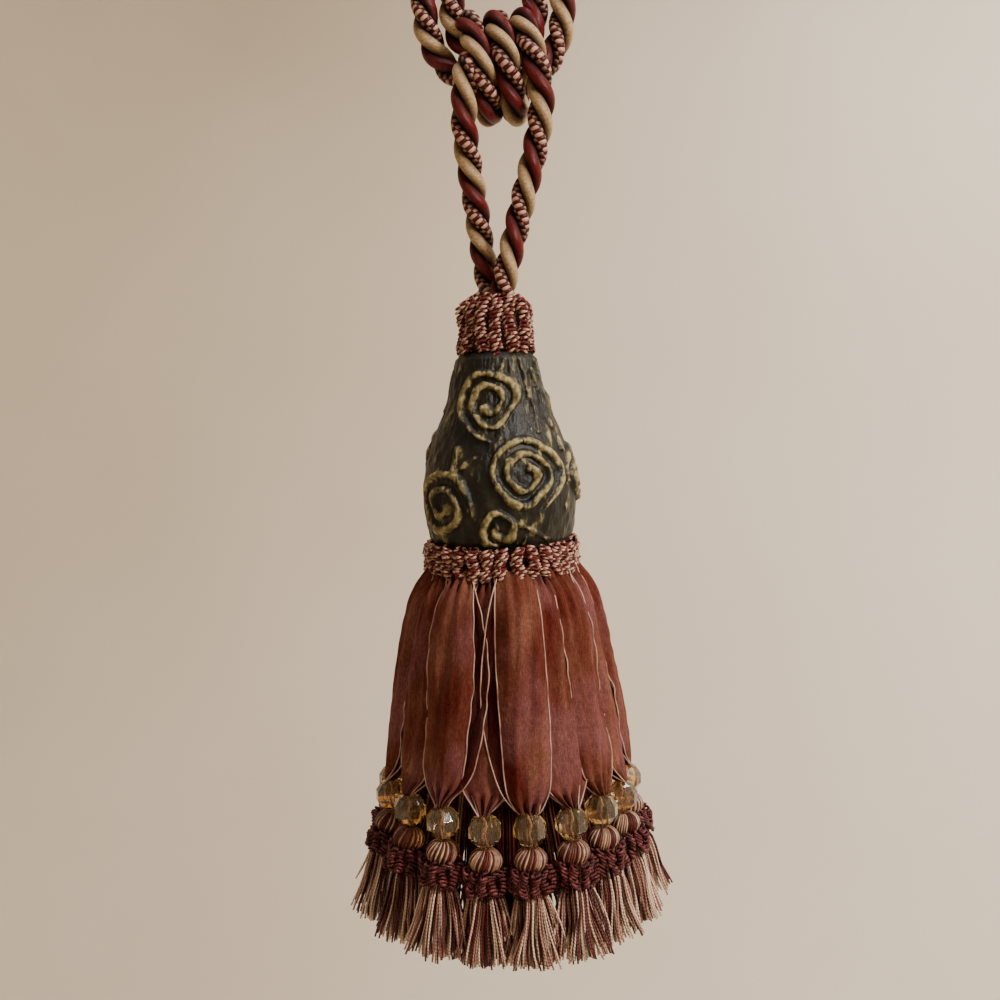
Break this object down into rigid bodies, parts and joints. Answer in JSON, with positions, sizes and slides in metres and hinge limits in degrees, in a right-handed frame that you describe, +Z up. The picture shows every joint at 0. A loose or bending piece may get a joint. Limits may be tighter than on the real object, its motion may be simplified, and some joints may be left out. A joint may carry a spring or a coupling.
{
  "type": "curtain tieback tassel",
  "caption": "Curtain tieback tassel: doubled twisted rope loop and knot, carved head with raised scrolls, ribbon skirt with glass beads and small fringed tassels.",
  "frame": {"origin": "underside of the top of the embrace rope loop, where the wall hook carries it", "axes": "+Z up along the hanging tassel, -Y towards the front of the tassel, +X to its right seen from the front"},
  "size_m": [0.1299, 0.1263, 0.4357],
  "materials": {
    "rope": "satin viscose",
    "gimp": "looped viscose gimp",
    "head": "turned mould, painted dark green-black, gold rubbed on the raised scrolls",
    "ribbon": "sheer rust organza",
    "cord": "matt thread",
    "glass": "smoky amber glass",
    "yarn": "burgundy and champagne yarn"
  },
  "bodies": {
    "root": {"band": "gimp", "collar": "gimp", "embrace_rope_inner": "rope", "embrace_rope_outer": "rope", "glass_bead_01": "glass", "glass_bead_02": "glass", "glass_bead_03": "glass", "glass_bead_04": "glass", "glass_bead_05": "glass", "glass_bead_06": "glass", "glass_bead_07": "glass", "glass_bead_08": "glass", "glass_bead_09": "glass", "glass_bead_10": "glass", "glass_bead_11": "glass", "glass_bead_12": "glass", "glass_bead_13": "glass", "glass_bead_14": "glass", "glass_bead_15": "glass", "glass_bead_16": "glass", "glass_bead_17": "glass", "hanging_cords": "cord", "head": "head", "knot": "rope", "ribbon_01": "ribbon", "ribbon_02": "ribbon", "ribbon_03": "ribbon", "ribbon_04": "ribbon", "ribbon_05": "ribbon", "ribbon_06": "ribbon", "ribbon_07": "ribbon", "ribbon_08": "ribbon", "ribbon_09": "ribbon", "ribbon_10": "ribbon", "ribbon_11": "ribbon", "ribbon_12": "ribbon", "ribbon_13": "ribbon", "ribbon_14": "ribbon", "ribbon_15": "ribbon", "ribbon_16": "ribbon", "ribbon_17": "ribbon", "rope_leg_left": "rope", "rope_leg_right": "rope", "small_tassel_01": "yarn", "small_tassel_02": "yarn", "small_tassel_03": "yarn", "small_tassel_04": "yarn", "small_tassel_05": "yarn", "small_tassel_06": "yarn", "small_tassel_07": "yarn", "small_tassel_08": "yarn", "small_tassel_09": "yarn", "small_tassel_10": "yarn", "small_tassel_11": "yarn", "small_tassel_12": "yarn", "small_tassel_13": "yarn", "small_tassel_14": "yarn", "small_tassel_15": "yarn", "small_tassel_16": "yarn", "small_tassel_17": "yarn"}
  },
  "joints": []
}
